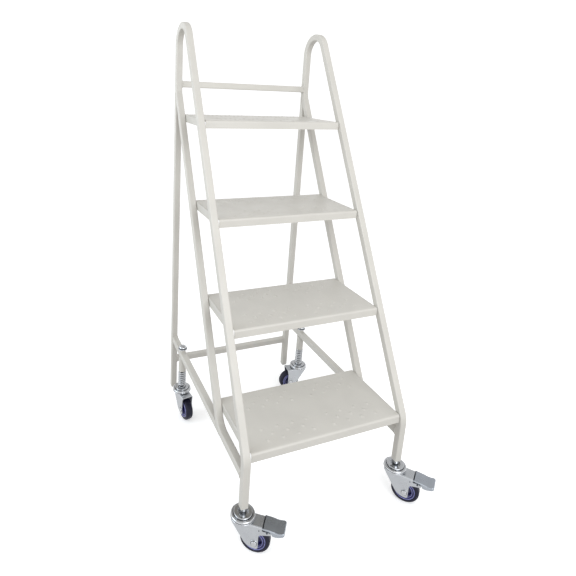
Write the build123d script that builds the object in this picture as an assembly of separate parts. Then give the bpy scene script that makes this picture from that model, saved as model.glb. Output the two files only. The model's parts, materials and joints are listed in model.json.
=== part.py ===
from build123d import *
import os
from math import asin, atan, cos, degrees, hypot, radians, sin, sqrt

# Mobile platform ladder: four pan steps between two loops of bent square tube,
# on four swivel casters. The two rear casters are sprung, and without a load
# they hold the rear legs' feet off the floor, so that the ladder leans forward.
#
# The ladder is drawn level, as it stands when somebody is on it: X to the right,
# Y to the back from the front edge of the lowest step, Z up from the floor under
# the front wheels. All lengths are in millimetres and all angles in degrees.
# At the end every piece is tipped onto the four wheels, and the origin goes to
# the floor under the middle of the outline.

# Steps
step_count = 4
first_step_height = 263.5
step_rise = 250
step_run = 140.6
step_depth = 222
step_lip = 23
step_nose_radius = 6
step_edge_radius = 3
step_sheet = 1.5
step_gap = 0.3
notch_width = 3.4
notch_depth = 9

# Anti-slip dimples: rows set in from the front and the rear edge, every other row staggered
dimple_radius = 6
dimple_rise = 1.3
dimple_rows = 3
dimple_columns = 4
dimple_edge = 30
dimple_row_pitch = 20
dimple_inner = 30.6
dimple_side = 60

# Square tube of the frame
tube = 20
tube_corner = 3
inner_width = 444
front_leg_forward = 7.25
post_setback = 662
hairpin_radius = 56
front_bend_radius = 60
post_bend_radius = 60
base_bend_radius = 50
base_rail_top = 214
weld_bite = 2
cope_tip = 1.2
upper_bar_rise = 23
lower_bar_height = 118.5
foot_height = 8.5
foot_corner = 4.5
foot_radius = 4
floor_gap = 3.5

# Sprung stems of the rear casters
caster_post_gap = 103
spring_drop = 25
spring_seat = 106
seat_radius = 12.5
rod_radius = 6
rod_clearance = 0.1
sleeve_radius = 12.5
sleeve_length = 54
sleeve_neck_radius = 8
sleeve_neck_gap = 0.1
sleeve_boss_radius = 10
sleeve_boss_height = 9
spring_radius = 12.5
spring_wire = 3
spring_turns = 6.5
spring_seat_gap = 0.1
washer_radius = 15.5
washer_thickness = 3
cap_nut_radius = 13
cap_nut_skirt = 3
cap_nut_height = 14

# Wheels
wheel_radius = 37.5
wheel_width = 24
tread_radius = 5
tyre_inner_radius = 28
hub_rim = 4.5
hub_rim_width = 21
hub_web = 7
hub_boss_radius = 10
hub_boss_width = 31
hub_seat_gap = 0.05
axle_radius = 4
axle_clearance = 0.08
bolt_head_radius = 9
bolt_head_skirt = 1
bolt_head_rise = 2

# Swivel forks
trail = 35
caster_height = 117.5
side_clearance = 5
fork_sheet = 2.2
fork_bend_radius = 4
crown_top = 88.5
crown_reach = 52.8
sprung_crown_reach = 49
cheek_front = 26
cheek_toe = 17.5
cheek_drop = 15
cheek_back = 10
cheek_toe_radius = 34
cheek_heel_radius = 6.5
cheek_notch_drop = 23.5
cheek_notch_radius = 8
ear_reach = 76
ear_low_drop = 15
ear_tip_setback = 2
ear_tip_drop = 9
ear_root_drop = 5
ear_low_radius = 3.5
ear_tip_radius = 2.5
ear_root_radius = 1
spring_hole_radius = 1.6
spring_hole_reach = 45.4
spring_hole_drop = 10.3

# Swivel head: the dish turns with the fork, and the race stays with the stem
neck_radius = 20
dish_radius = 30
dish_rise = 3.5
dish_lip_top = 6
groove_radius = 28.5
groove_top = 7
ring_radius = 29.5
ring_top = 10
ring_round = 2
cup_radius = 24
cup_floor = 4
race_radius = 22.5
race_top = 15
race_round = 1.5
race_recess_radius = 13.5
race_recess = 6.5
collar_radius = 9.5
king_pin_radius = 6
king_pin_clearance = 0.3
king_head_radius = 10
king_head_height = 3
race_gap = 0.4

# Brake pedals of the front casters
pedal_reach = 107
pedal_sheet = 1.6
pedal_flange = 12.5
pedal_rim = 3.5
pedal_rim_reach = 71
pedal_flange_start = 79
pedal_corner = 6
pedal_roll = 2.8
pedal_clearance = 0.3
pedal_lug_radius = 5
pedal_pin_radius = 2.2
pedal_pin_reach = 65
pedal_pin_drop = 11.2
pedal_pin_overrun = 1

# Casters: name, side, sprung, direction of the trail from +X in degrees
casters = [
    ("front_left", -1, False, -37),
    ("front_right", 1, False, -51),
    ("rear_left", -1, True, -81),
    ("rear_right", 1, True, 175),
]
sides = [("left", -1), ("right", 1)]

# Rails: both lean back by one run for each rise, as the steps do
rail_cut = tube * hypot(step_rise, step_run) / step_rise
side_x = (inner_width + tube) / 2
half_tube = tube / 2
leg_y = half_tube - front_leg_forward
post_y = post_setback + half_tube
base_z = base_rail_top - half_tube
rear_caster_y = post_setback - caster_post_gap
pan_width = inner_width - 2 * step_gap
front_rail_offset = rail_cut / 2
rear_rail_offset = step_depth - rail_cut / 2
rail_lean = atan(step_run / step_rise)


def rail_z(y, offset):
    """Height at which a rail's middle line, set back by offset, is y behind the lowest step."""
    return first_step_height + (y - offset) * step_rise / step_run


def rail_y(z, offset):
    """Setback of a rail's middle line at the height z."""
    return offset + (z - first_step_height) * step_run / step_rise


def turned(points):
    """Solid of revolution about Z from its half outline, as (radius, height) points."""
    return revolve(Plane.XZ * make_face(Polyline(*points, close=True)), Axis.Z)


def dome(radius, rise, depth):
    """Round cap about Z with its rim at height zero, on a plug that goes down by the depth."""
    ball = (radius**2 + rise**2) / (2 * rise)
    edge = degrees(asin((ball - rise) / ball))
    cap = CenterArc((0, rise - ball), ball, edge, 90 - edge)
    plug = Polyline((0, rise), (0, -depth), (radius, -depth), (radius, 0))
    return revolve(Plane.XZ * make_face([cap, plug]), Axis.Z)


def square_bar(start, end):
    """Straight square tube from start to end, closed by what it is welded to."""
    line = Line(start, end)
    section = Plane(origin=line @ 0, z_dir=line % 0) * RectangleRounded(tube, tube, tube_corner)
    return sweep(section, path=line)


def side_loop(x):
    """One tube: front leg, front rail, hairpin, rear post, rear rail and the run back to the leg."""
    run_end = leg_y + tube
    path = FilletPolyline(
        (x, leg_y, caster_height),
        (x, leg_y, rail_z(leg_y, front_rail_offset)),
        (x, post_y, rail_z(post_y, front_rail_offset)),
        (x, post_y, rail_z(post_y, rear_rail_offset)),
        (x, rail_y(base_z, rear_rail_offset), base_z),
        (x, run_end, base_z),
        radius=[front_bend_radius, hairpin_radius, post_bend_radius, base_bend_radius],
    )
    section = Plane(origin=path @ 0, z_dir=path % 0) * RectangleRounded(tube, tube, tube_corner)
    run = square_bar((x, run_end, base_z), (x, leg_y + half_tube - weld_bite, base_z))
    return sweep(section, path=path) + run


def rear_leg(x):
    """Vertical leg under the post, mitred along the back of the rear rail."""
    back = rear_rail_offset + rail_cut / 2
    top = rail_z(post_y + half_tube, back)
    leg = square_bar((x, post_y, foot_height), (x, post_y, top))
    rail_back = Plane(
        origin=(x, rail_y(base_z, back), base_z),
        z_dir=(0, cos(rail_lean), -sin(rail_lean)),
    )
    return split(leg, bisect_by=rail_back, keep=Keep.TOP)


def rear_foot(x):
    """Plastic plug that closes the rear leg, rounded where it meets the floor."""
    section = RectangleRounded(tube, tube, foot_corner)
    plug = Pos(x, post_y, floor_gap) * extrude(section, foot_height - floor_gap)
    return fillet(plug.faces().sort_by(Axis.Z)[0].edges(), foot_radius)


def base_rail(x):
    """Straight tube from the loop's lower bend to the rear leg, drilled for the sleeve's neck."""
    bend_y = rail_y(base_z, rear_rail_offset)
    turn = radians(90) - rail_lean
    tangent_y = bend_y - base_bend_radius * sin(turn / 2) / cos(turn / 2)
    outer = base_bend_radius + half_tube
    start_y = tangent_y + sqrt(outer**2 - (outer - cope_tip) ** 2)
    rail = square_bar((x, start_y, base_z), (x, post_setback, base_z))
    bend = FilletPolyline(
        (x, rail_y(base_z + 2 * base_bend_radius, rear_rail_offset), base_z + 2 * base_bend_radius),
        (x, bend_y, base_z),
        (x, tangent_y - base_bend_radius, base_z),
        radius=base_bend_radius,
    )
    outline = Plane(origin=bend @ 0, z_dir=bend % 0) * Rectangle(tube, tube)
    hole = Pos(x, rear_caster_y, base_z) * Cylinder(sleeve_neck_radius + sleeve_neck_gap, 2 * tube)
    return rail - sweep(outline, path=bend) - hole


def cross_bar(z):
    """Tube between the two posts or the two rear legs, centred at the height z."""
    return square_bar((-inner_width / 2, post_y, z), (inner_width / 2, post_y, z))


def dimple_places():
    """Middles of a step's dimples, behind its front edge: the same rows at the front and the rear."""
    pitch = (pan_width / 2 - dimple_side - dimple_inner) / (dimple_columns - 1)
    places = []
    for row in range(dimple_rows):
        stagger = row % 2
        y = dimple_edge + row * dimple_row_pitch
        for column in range(dimple_columns - stagger):
            x = dimple_inner + (column + stagger / 2) * pitch
            places += [(side * x, back) for back in (y, step_depth - y) for side in (-1, 1)]
    return places


def step():
    """Sheet pan with a rounded nose, turned-down sides, notched corners and pressed dimples."""

    def pan(inset):
        size = (pan_width - 2 * inset, step_depth - 2 * inset, step_lip)
        block = Pos(0, step_depth / 2, -inset - step_lip / 2) * Box(*size)
        upper = block.faces().sort_by(Axis.Z)[-1].edges()
        nose = upper.sort_by(Axis.Y)[0]
        block = fillet(nose, step_nose_radius - inset)
        tail = block.edges().filter_by(Axis.X).group_by(Axis.Z)[-1].sort_by(Axis.Y)[-1]
        return fillet(tail, step_edge_radius - inset)

    corners = [(side * pan_width / 2, y) for side in (-1, 1) for y in (0, step_depth)]
    notch = Box(2 * notch_width, 2 * notch_depth, 2 * step_lip)
    notches = [Pos(x, y, -step_lip / 2) * notch for x, y in corners]
    # The sheet keeps its thickness: the dent under a dimple has the same middle as its dome.
    ball = (dimple_radius**2 + dimple_rise**2) / (2 * dimple_rise)
    dent_radius = sqrt(2 * dimple_rise * (ball - step_sheet) - dimple_rise**2)
    bump = dome(dimple_radius, dimple_rise, step_sheet / 2)
    dent = Pos(0, 0, -step_sheet) * dome(dent_radius, dimple_rise, step_sheet)
    bumps = [Pos(x, y, 0) * bump for x, y in dimple_places()]
    dents = [Pos(x, y, 0) * dent for x, y in dimple_places()]
    return pan(0) - pan(step_sheet) - notches + bumps - dents


def sleeve(x, bottom):
    """Guide of the sprung rod: sleeve under the base rail, neck through it and boss on it."""
    bore = rod_radius + rod_clearance
    boss_top = base_rail_top + sleeve_boss_height
    guide = turned([
        (bore, bottom),
        (sleeve_radius, bottom),
        (sleeve_radius, base_rail_top - tube),
        (sleeve_neck_radius, base_rail_top - tube),
        (sleeve_neck_radius, base_rail_top),
        (sleeve_boss_radius, base_rail_top),
        (sleeve_boss_radius, boss_top),
        (bore, boss_top),
    ])
    return Pos(x, rear_caster_y, 0) * guide


def cap_nut(x):
    """Domed flange nut on top of the guide, which holds the rod."""
    bore = rod_radius + rod_clearance
    dome_base = washer_thickness + cap_nut_skirt
    flange = Pos(0, 0, washer_thickness / 2) * Cylinder(washer_radius, washer_thickness)
    cap = Pos(0, 0, dome_base) * dome(cap_nut_radius, cap_nut_height - dome_base, cap_nut_skirt)
    thread = Pos(0, 0, dome_base / 2) * Cylinder(bore, dome_base)
    return Pos(x, rear_caster_y, base_rail_top + sleeve_boss_height) * (flange + cap - thread)


def spring(x, bottom, top):
    """Coil spring between the swivel head and the sleeve."""
    radius = spring_radius - spring_wire / 2
    first = bottom + spring_wire / 2 + spring_seat_gap
    height = top - bottom - spring_wire - 2 * spring_seat_gap
    coil = Pos(x, rear_caster_y, first) * Helix(height / spring_turns, height, radius)
    wire = Plane(origin=coil @ 0, z_dir=coil % 0) * Circle(spring_wire / 2)
    return sweep(wire, path=coil, is_frenet=True)


def stem(collar, seat, rod_top):
    """King pin, upper race and collar up to the seat, which stay with the ladder, and the rod."""
    race_bottom = crown_top + cup_floor + race_gap
    top = crown_top + race_top
    head_top = crown_top - fork_sheet - race_gap
    outline = [
        (0, head_top - king_head_height),
        (king_head_radius, head_top - king_head_height),
        (king_head_radius, head_top),
        (king_pin_radius, head_top),
        (king_pin_radius, race_bottom),
        (race_radius, race_bottom),
        (race_radius, top - race_round),
        (race_radius - race_round, top),
        (race_recess_radius, top),
        (race_recess_radius, top - race_recess),
        (collar, top - race_recess),
        (collar, seat),
    ]
    if rod_top > seat:
        outline += [(rod_radius, seat), (rod_radius, rod_top), (0, rod_top)]
    else:
        outline += [(0, seat)]
    return turned(outline)


def cheek_outline(brake):
    """Side of the fork, seen across the wheel: sloping front, round toe, notched back and ear."""
    bottom = wheel_radius - cheek_drop
    back = trail + cheek_back
    corners = [
        (-cheek_front, crown_top),
        (trail - cheek_toe, bottom),
        (back, bottom),
        (back, crown_top - cheek_notch_drop),
    ]
    radii = [cheek_toe_radius, cheek_heel_radius, cheek_notch_radius]
    if brake:
        corners += [
            (ear_reach, crown_top - ear_low_drop),
            (ear_reach - ear_tip_setback, crown_top - ear_tip_drop),
            (crown_reach, crown_top - ear_root_drop),
            (crown_reach, crown_top),
        ]
        radii += [ear_low_radius, ear_tip_radius, ear_root_radius]
    else:
        corners += [(sprung_crown_reach, crown_top)]
    side = FilletPolyline(*corners, radius=radii)
    return Plane.XZ * make_face([side, Line(corners[-1], corners[0])])


def cross_hole(reach, drop, radius):
    """Round hole across both cheeks of the fork, that far behind the king pin and under the crown."""
    width = 2 * (wheel_width + 2 * side_clearance + 2 * fork_sheet)
    return Pos(reach, 0, crown_top - drop) * Rot(90, 0, 0) * Cylinder(radius, width)


def fork(brake):
    """Pressed fork: two cheeks under a crown, with the swivel dish on it."""
    gap = wheel_width + 2 * side_clearance
    outer = gap + 2 * fork_sheet
    block = extrude(cheek_outline(brake), outer / 2, both=True)
    top_sides = block.edges().filter_by(Axis.X).group_by(Axis.Z)[-1]
    body = fillet(top_sides, fork_bend_radius)
    inside_top = crown_top - fork_sheet
    room = Pos(0, 0, inside_top - crown_top / 2) * Box(2 * pedal_reach, gap, crown_top)
    bore = king_pin_radius + king_pin_clearance
    dish = turned([
        (bore, inside_top),
        (dish_radius / 2, inside_top),
        (neck_radius, crown_top),
        (dish_radius, crown_top + dish_rise),
        (dish_radius, crown_top + dish_lip_top),
        (groove_radius, crown_top + dish_lip_top),
        (groove_radius, crown_top + groove_top),
        (ring_radius, crown_top + groove_top),
        (ring_radius, crown_top + ring_top - ring_round),
        (ring_radius - ring_round, crown_top + ring_top),
        (cup_radius, crown_top + ring_top),
        (cup_radius, crown_top + cup_floor),
        (bore, crown_top + cup_floor),
    ])
    pin_hole = Pos(0, 0, crown_top) * Cylinder(bore, 2 * ring_top)
    body = body - room + dish - pin_hole - cross_hole(trail, crown_top - wheel_radius, axle_radius)
    if brake:
        body -= cross_hole(pedal_pin_reach, pedal_pin_drop, pedal_pin_radius + pedal_clearance)
        body -= cross_hole(spring_hole_reach, spring_hole_drop, spring_hole_radius)
    return body


def axle():
    """Wheel bolt across the fork, with a low domed head against each cheek."""
    outer = wheel_width + 2 * side_clearance + 2 * fork_sheet
    head = Pos(0, 0, bolt_head_skirt) * dome(bolt_head_radius, bolt_head_rise, bolt_head_skirt)
    end = Pos(0, 0, outer / 2) * head
    bolt = Cylinder(axle_radius, outer) + end + Rot(180, 0, 0) * end
    return Pos(trail, 0, wheel_radius) * Rot(90, 0, 0) * bolt


def wheel_ring(points):
    """Part of the wheel turned about the axle from (radius, width) points of its half outline."""
    mirrored = [(radius, -width) for radius, width in reversed(points)]
    return Pos(trail, 0, wheel_radius) * Rot(90, 0, 0) * turned(points + mirrored)


def tyre():
    """Tyre with a rounded tread."""
    half = wheel_width / 2
    shoulder = tread_radius * (1 - cos(radians(45)))
    return wheel_ring([
        (tyre_inner_radius, half),
        (wheel_radius - tread_radius, half),
        (wheel_radius - shoulder, half - shoulder),
        (wheel_radius, half - tread_radius),
    ])


def hub():
    """Wheel centre: boss on the axle, web and rim."""
    rim = tyre_inner_radius - hub_seat_gap
    return wheel_ring([
        (axle_radius + axle_clearance, hub_boss_width / 2),
        (hub_boss_radius, hub_boss_width / 2),
        (hub_boss_radius, hub_web / 2),
        (rim - hub_rim, hub_web / 2),
        (rim - hub_rim, hub_rim_width / 2),
        (rim, hub_rim_width / 2),
    ])


def pedal_lug():
    """Plate that carries the pedal on its pin, rounded about the pin."""
    pin_z = crown_top - pedal_pin_drop
    top = crown_top - pedal_sheet / 2
    side = Pos(pedal_pin_reach, (pin_z + top) / 2) * Rectangle(2 * pedal_lug_radius, top - pin_z)
    side += Pos(pedal_pin_reach, pin_z) * Circle(pedal_lug_radius)
    return extrude(Plane.XZ * side, pedal_sheet / 2, both=True)


def brake_pedal():
    """Pressed brake pedal: tread plate with its sides and end rolled down, two lugs and the pin."""
    cheek = wheel_width / 2 + side_clearance
    outer = cheek + fork_sheet + pedal_clearance + pedal_sheet
    start = crown_reach + pedal_clearance

    def tread(inset):
        first = start - inset
        last = pedal_reach - inset
        block = Box(last - first, 2 * (outer - inset), pedal_flange)
        block = Pos((first + last) / 2, 0, crown_top - inset - pedal_flange / 2) * block
        corners = block.edges().filter_by(Axis.Z).group_by(Axis.X)[-1]
        block = fillet(corners, pedal_corner - inset)
        rim = block.faces().sort_by(Axis.Z)[-1].edges().sort_by(Axis.X)[1:]
        return fillet(rim, pedal_roll - inset)

    # The sides are low beside the fork's ears and full behind them.
    low = crown_top - 2 * pedal_flange
    relief = make_face(Polyline(
        (0, crown_top - pedal_rim),
        (pedal_rim_reach, crown_top - pedal_rim),
        (pedal_flange_start, crown_top - pedal_flange),
        (pedal_flange_start, low),
        (0, low),
        close=True,
    ))
    plate = tread(0) - tread(pedal_sheet) - extrude(Plane.XZ * relief, 2 * outer, both=True)
    lug_y = cheek - pedal_clearance - pedal_sheet / 2
    lugs = [Pos(0, side * lug_y, 0) * pedal_lug() for side in (-1, 1)]
    pin_length = 2 * (cheek + fork_sheet + pedal_pin_overrun)
    pin = Cylinder(pedal_pin_radius, pin_length)
    pin = Pos(pedal_pin_reach, 0, crown_top - pedal_pin_drop) * Rot(90, 0, 0) * pin
    return plate + lugs + pin


def put(name, shape):
    """Keep a piece under its name, to be tipped and written with the others."""
    pieces[name] = shape


pieces = {}
sleeve_bottom = base_rail_top - tube - sleeve_length
spring_bottom = spring_seat - spring_drop
nut_bottom = base_rail_top + sleeve_boss_height

for side, sign in sides:
    put(f"side_loop_{side}", side_loop(sign * side_x))
    put(f"rear_leg_{side}", rear_leg(sign * side_x))
    put(f"rear_foot_{side}", rear_foot(sign * side_x))
    put(f"base_rail_{side}", base_rail(sign * side_x))
    put(f"spring_sleeve_{side}", sleeve(sign * side_x, sleeve_bottom))
    put(f"cap_nut_{side}", cap_nut(sign * side_x))
    put(f"spring_{side}", spring(sign * side_x, spring_bottom, sleeve_bottom))

put("upper_cross_bar", cross_bar(rail_z(post_y, rear_rail_offset) + upper_bar_rise))
put("lower_cross_bar", cross_bar(lower_bar_height))

pan = step()
for index in range(step_count):
    place = Pos(0, index * step_run, first_step_height + index * step_rise)
    put(f"step_{index + 1}", place * pan)

for name, sign, sprung, direction in casters:
    if sprung:
        place = Pos(sign * side_x, rear_caster_y, -spring_drop)
        rod_top = nut_bottom + washer_thickness + cap_nut_skirt - rod_clearance + spring_drop
        swivel = stem(seat_radius, spring_seat, rod_top)
    else:
        place = Pos(sign * side_x, leg_y, 0)
        swivel = stem(collar_radius, caster_height, caster_height)
    turn = place * Rot(0, 0, direction)
    put(f"caster_stem_{name}", place * swivel)
    put(f"fork_{name}", turn * fork(not sprung))
    put(f"axle_{name}", turn * axle())
    put(f"tyre_{name}", turn * tyre())
    put(f"hub_{name}", turn * hub())
    if not sprung:
        put(f"brake_pedal_{name}", turn * brake_pedal())

# Stance: tipped forward until the sprung rear wheels stand on the floor of the front ones
tip = degrees(atan(spring_drop / (rear_caster_y - leg_y)))
tipped = {name: Rot(tip, 0, 0) * shape for name, shape in pieces.items()}
boxes = [shape.bounding_box() for shape in tipped.values()]
middle_x = (min(box.min.X for box in boxes) + max(box.max.X for box in boxes)) / 2
middle_y = (min(box.min.Y for box in boxes) + max(box.max.Y for box in boxes)) / 2
floor = min(box.min.Z for box in boxes)

os.makedirs("parts", exist_ok=True)
for name, shape in tipped.items():
    export_step(Pos(-middle_x, -middle_y, -floor) * shape, f"parts/{name}.step")
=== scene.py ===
"""Mobile platform ladder: finished surfaces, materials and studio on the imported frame."""

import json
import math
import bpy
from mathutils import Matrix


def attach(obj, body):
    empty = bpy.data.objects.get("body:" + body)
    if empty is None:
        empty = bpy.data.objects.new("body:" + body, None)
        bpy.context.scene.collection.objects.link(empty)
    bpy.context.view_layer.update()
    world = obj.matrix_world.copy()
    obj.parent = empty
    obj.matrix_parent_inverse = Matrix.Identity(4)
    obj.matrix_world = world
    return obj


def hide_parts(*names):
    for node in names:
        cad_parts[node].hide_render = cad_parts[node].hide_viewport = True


bl_info = {
    "name": "Mobile Platform Ladder",
    "version": (1, 0, 0),
    "blender": (4, 5, 0),
    "location": "View3D > Sidebar > Ladder",
    "description": "Builds the surfaces, materials and studio of a mobile platform ladder",
    "category": "Object",
}

from types import SimpleNamespace

import bmesh
import bpy
import numpy as np
from mathutils import Matrix, Vector

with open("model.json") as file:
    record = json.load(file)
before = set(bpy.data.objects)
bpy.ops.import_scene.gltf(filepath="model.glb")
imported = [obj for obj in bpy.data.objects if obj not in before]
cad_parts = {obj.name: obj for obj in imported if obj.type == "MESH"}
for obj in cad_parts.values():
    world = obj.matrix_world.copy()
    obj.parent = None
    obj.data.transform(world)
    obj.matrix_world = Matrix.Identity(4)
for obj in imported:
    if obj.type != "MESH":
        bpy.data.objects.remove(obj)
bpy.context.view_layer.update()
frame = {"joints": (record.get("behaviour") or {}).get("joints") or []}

JOINTS = {joint["child"]: joint for joint in frame["joints"]}
MM = 0.001
SIDES = (("left", -1), ("right", 1))
FRONT_CASTERS = ("front_left", "front_right")
REAR_CASTERS = ("rear_left", "rear_right")
CASTERS = FRONT_CASTERS + REAR_CASTERS


# Settings

def linear(hex_colour):
    """Linear shares of an sRGB hex colour: over 12.92 up to 0.04045, and a power of 2.4 above."""
    share = np.array([int(hex_colour[i:i + 2], 16) for i in (1, 3, 5)]) / 255
    return tuple(np.where(share <= 0.04045, share / 12.92, ((share + 0.055) / 1.055) ** 2.4))


def length(name, description, millimetres):
    """Length setting, given here in millimetres."""
    return bpy.props.FloatProperty(name=name, description=description, unit="LENGTH",
                                   default=millimetres * MM, precision=4)


def number(name, description, value):
    """Plain number setting."""
    return bpy.props.FloatProperty(name=name, description=description, default=value)


def angle(name, description, degrees):
    """Angle setting, given here in degrees."""
    return bpy.props.FloatProperty(name=name, description=description, unit="ROTATION",
                                   default=math.radians(degrees))


def colour(name, description, hex_colour):
    """Colour setting, given here as sRGB hex."""
    return bpy.props.FloatVectorProperty(name=name, description=description, subtype="COLOR",
                                         size=3, min=0, max=1, default=linear(hex_colour))


class LadderFrameSizes(bpy.types.PropertyGroup):
    """Sizes of the tube frame."""
    tube: length("Tube", "Width of the square tube", 20)
    tube_corner: length("Tube corner", "Outer corner radius of the tube", 3)
    inner_width: length("Inner width", "Distance between the side loops", 444)
    leg_forward: length("Leg forward", "Front legs' lead on the lowest step", 7.25)
    post_setback: length("Post setback", "Front of the posts behind the lowest step", 662)
    hairpin: length("Hairpin", "Bend radius over the top", 56)
    front_bend: length("Front bend", "Bend radius above the front legs", 60)
    post_bend: length("Post bend", "Bend radius under the posts", 60)
    base_bend: length("Base bend", "Bend radius at the foot of the rear rails", 50)
    base_top: length("Base top", "Height of the base rails' tops", 214)
    upper_bar: length("Upper bar", "Upper cross bar above the corner of the posts' bend", 23)
    lower_bar: length("Lower bar", "Height of the lower cross bar", 118.5)
    foot_height: length("Foot height", "Height of the rear legs' ends", 8.5)
    foot_gap: length("Foot gap", "Gap under the rear feet on the level drawing", 3.5)
    foot_corner: length("Foot corner", "Corner radius of the plugs", 4.5)
    foot_round: length("Foot round", "Rounding under the rear feet", 4)
    weld: length("Weld", "Radius of the weld beads", 1.7)
    weld_ripple: length("Weld ripple", "Distance between the ripples of a weld bead", 2.4)


class LadderStepSizes(bpy.types.PropertyGroup):
    """Sizes of the steps."""
    count: bpy.props.IntProperty(name="Count", description="Number of steps", default=4, min=1)
    first: length("First step", "Height of the lowest step", 263.5)
    rise: length("Rise", "Height from step to step", 250)
    run: length("Run", "Setback from step to step", 140.6)
    depth: length("Depth", "Depth of a step", 222)
    lip: length("Lip", "Height of the turned-down edges", 23)
    nose: length("Nose", "Radius of the front edge", 6)
    edge: length("Edge", "Radius of the other edges", 3)
    sheet: length("Sheet", "Thickness of the sheet steel", 1.5)
    gap: length("Gap", "Gap between a step and the side loops", 0.3)
    notch_width: length("Notch width", "Width of the corner notches", 2.4)
    notch_length: length("Notch length", "Length of the corner notches", 9)
    dimple: length("Dimple", "Radius of the anti-slip dimples", 6)
    dimple_rise: length("Dimple rise", "Height of the anti-slip dimples", 2.3)
    dimple_pitch: length("Dimple pitch", "Distance between the dimples of a row", 43.75)
    dimple_rows: length("Dimple rows", "Distance between the rows of dimples", 20)
    dimple_edge: length("Dimple edge", "First row of dimples from the step's edge", 30)


class LadderCasterSizes(bpy.types.PropertyGroup):
    """Sizes of the wheels, the forks and the swivel heads."""
    wheel: length("Wheel", "Radius of the wheels", 37.5)
    width: length("Width", "Width of the tyres", 24)
    tread_round: length("Tread round", "Rounding of the tread's shoulders", 6.5)
    tyre_inside: length("Tyre inside", "Inner radius of the tyres", 28)
    trail: length("Trail", "Distance from swivel axis to wheel", 35)
    clearance: length("Clearance", "Gap between tyre and cheek", 5)
    sheet: length("Sheet", "Thickness of the fork", 2.2)
    fork_bend: length("Fork bend", "Bend radius of the fork's crown", 4)
    crown: length("Crown", "Height of the fork's crown", 88.5)
    crown_reach: length("Crown reach", "Reach of a front fork's crown behind the swivel axis", 52.8)
    sprung_reach: length("Sprung reach", "Reach of a rear fork's crown behind the swivel axis", 49)
    height: length("Height", "Height of a front caster", 117.5)
    cheek_front: length("Cheek front", "Reach of the cheeks before the swivel axis", 26)
    toe: length("Toe", "Cheeks' lower corner before the bolt", 17.5)
    toe_round: length("Toe round", "Radius of the cheeks' lower corner", 34)
    heel: length("Heel", "Cheeks' back edge behind the bolt", 10)
    heel_round: length("Heel round", "Radius under the cheeks' back edge", 6.5)
    drop: length("Drop", "Cheeks' lower edge below the bolt", 15)
    notch: length("Notch", "Corner of the cheeks' back edge below the crown", 23.5)
    notch_round: length("Notch round", "Radius of that corner", 8)
    ear_reach: length("Ear reach", "Reach of the pedal's ears", 76)
    ear_low: length("Ear low", "Lower tip of the ears below the crown", 15)
    ear_high: length("Ear high", "Upper tip of the ears below the crown", 9.6)
    ear_slant: length("Ear slant", "Setback from the lower to the upper tip", 2)
    ear_root: length("Ear root", "Ears' upper edge below the crown where it starts", 9)
    neck: length("Neck", "Radius of the neck under the dish", 20)
    dish: length("Dish", "Radius of the dish", 31)
    ring: length("Ring", "Radius of the dish's upper ring", 30.6)
    ring_top: length("Ring top", "Top of the dish above the crown", 11)
    groove: length("Groove", "Depth of the groove under the ring", 2.4)
    cup: length("Cup", "Inner radius of the dish", 24)
    cup_floor: length("Cup floor", "Floor of the dish above the crown", 4)
    race: length("Race", "Radius of the race", 23.2)
    race_top: length("Race top", "Top of the race above the crown", 15)
    recess: length("Recess", "Radius of the recess in the race", 13.5)
    recess_depth: length("Recess depth", "Depth of the recess in the race", 6.5)
    collar: length("Collar", "Radius of the collar under the leg", 8.6)
    pin: length("King pin", "Radius of the king pin", 6)
    gap: length("Gap", "Gap between race and dish", 0.4)
    bolt: length("Bolt", "Radius of the bolt's heads", 9.6)
    bolt_head: length("Bolt head", "Height of the bolt's heads", 3)


class LadderSpringSizes(bpy.types.PropertyGroup):
    """Sizes of the rear casters' sprung stems."""
    seat: length("Seat", "Height of the spring's seat on a rear caster", 106)
    seat_radius: length("Seat radius", "Radius of the spring's seat", 12.5)
    rod: length("Rod", "Radius of the sliding rod", 6)
    spring: length("Spring", "Outer radius of the coil springs", 13.6)
    wire: length("Wire", "Thickness of the springs' wire", 4.4)
    turns: number("Turns", "Turns of a coil spring", 7.5)
    sleeve: length("Sleeve", "Length of the guide sleeves", 54)
    sleeve_radius: length("Sleeve radius", "Outer radius of the guide sleeves", 12.5)
    boss: length("Boss", "Radius of the guide's boss on the base rail", 10)
    boss_height: length("Boss height", "Height of that boss", 9)
    washer: length("Washer", "Radius of the domed nut's flange", 15.5)
    washer_height: length("Washer height", "Thickness of the flange", 3)
    nut: length("Nut", "Radius of the dome", 13)
    nut_skirt: length("Nut skirt", "Straight part under the dome", 3)
    nut_height: length("Nut height", "Height of flange and dome", 14)


class LadderPedalSizes(bpy.types.PropertyGroup):
    """Sizes of the brake pedals."""
    reach: length("Reach", "Reach of the pedal from the swivel axis", 107)
    sheet: length("Sheet", "Thickness of the pedal", 1.6)
    flange: length("Flange", "Depth of the sides behind the ears", 12.5)
    rim: length("Rim", "Depth of the sides beside the ears", 3)
    rim_reach: length("Rim reach", "Where the sides start to deepen", 71)
    flange_start: length("Flange start", "Where the sides are full", 79)
    corner: length("Corner", "Corner radius of the tread plate", 6)
    roll: length("Roll", "Radius of the rolled edge", 2.6)
    dip: length("Dip", "How far the tread sags before its raised end", 2.6)
    end_flange: length("End flange", "Depth of the sides at the pedal's end", 8)
    clearance: length("Clearance", "Gap between pedal and fork", 0.3)
    lug: length("Lug", "Radius of the lugs about the pin", 5)
    pin: length("Pin", "Radius of the pedal's pin", 2.2)
    pin_reach: length("Pin reach", "Distance of the pin from the swivel axis", 65)
    pin_drop: length("Pin drop", "Pin below the top of the crown", 11.2)
    pin_head: length("Pin head", "How far the pin stands out of the ears", 1)
    spring_reach: length("Spring reach", "Brake spring's pin from the swivel axis", 45.4)
    spring_drop: length("Spring drop", "That pin below the top of the crown", 10.3)
    spring_pin: length("Spring pin", "Radius of that pin", 1.6)


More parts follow.
